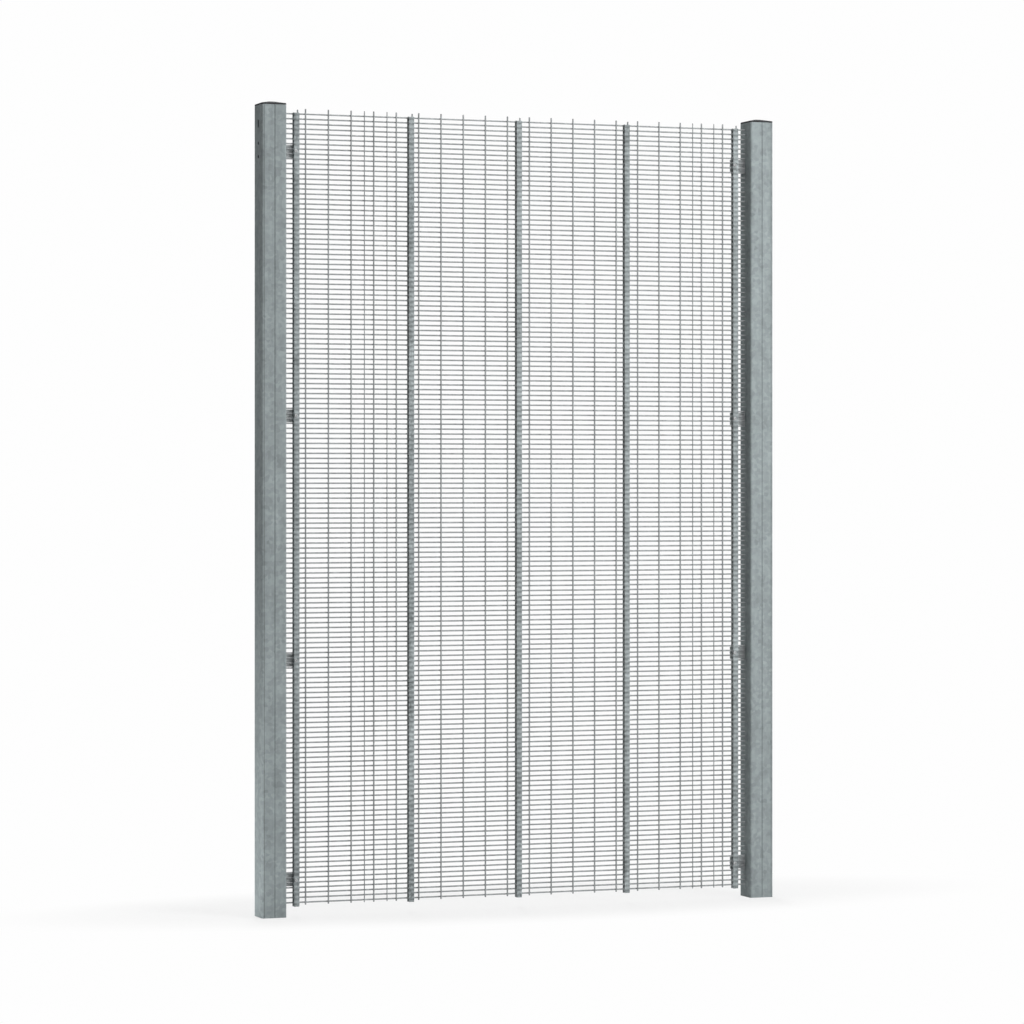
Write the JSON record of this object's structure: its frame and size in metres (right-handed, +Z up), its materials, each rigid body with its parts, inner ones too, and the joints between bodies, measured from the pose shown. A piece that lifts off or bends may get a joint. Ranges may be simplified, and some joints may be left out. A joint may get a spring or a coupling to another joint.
{
  "type": "anti-climb fence",
  "caption": "Anti-climb fence bay: close-pitch galvanised welded mesh stiffened by paired flat bars, bracketed between box-section posts with black caps.",
  "frame": {"origin": "on the ground, midway between the two posts and at the posts' mid-depth", "axes": "+X along the fence to the right as seen from the front, +Y to the back, +Z up"},
  "size_m": [1.417, 0.07, 2.0693],
  "materials": {
    "galvanised_post": "hot-dip galvanised, softly mottled, satin",
    "galvanised_bar": "hot-dip galvanised flat bar, satin",
    "galvanised_wire": "galvanised drawn wire, satin",
    "galvanised_bracket": "hot-dip galvanised angle, matt",
    "zinc_fastener": "zinc-plated, bright satin",
    "black_plastic": "moulded, slightly textured"
  },
  "bodies": {
    "root": {"left_post": "galvanised_post", "left_post_cap": "black_plastic", "left_bracket_1": "galvanised_bracket", "left_bracket_2": "galvanised_bracket", "left_bracket_3": "galvanised_bracket", "left_bracket_4": "galvanised_bracket", "right_post": "galvanised_post", "right_post_cap": "black_plastic", "right_bracket_1": "galvanised_bracket", "right_bracket_2": "galvanised_bracket", "right_bracket_3": "galvanised_bracket", "right_bracket_4": "galvanised_bracket", "front_bar_1": "galvanised_bar", "rear_bar_1": "galvanised_bar", "front_bar_2": "galvanised_bar", "rear_bar_2": "galvanised_bar", "front_bar_3": "galvanised_bar", "rear_bar_3": "galvanised_bar", "front_bar_4": "galvanised_bar", "rear_bar_4": "galvanised_bar", "front_bar_5": "galvanised_bar", "rear_bar_5": "galvanised_bar", "level_wires": "galvanised_wire", "upright_wires": "galvanised_wire", "bar_wires": "galvanised_wire", "infill_wires": "galvanised_wire", "panel_bolts": "zinc_fastener", "panel_nuts": "zinc_fastener", "post_bolts": "zinc_fastener", "post_inserts": "zinc_fastener"}
  },
  "joints": []
}
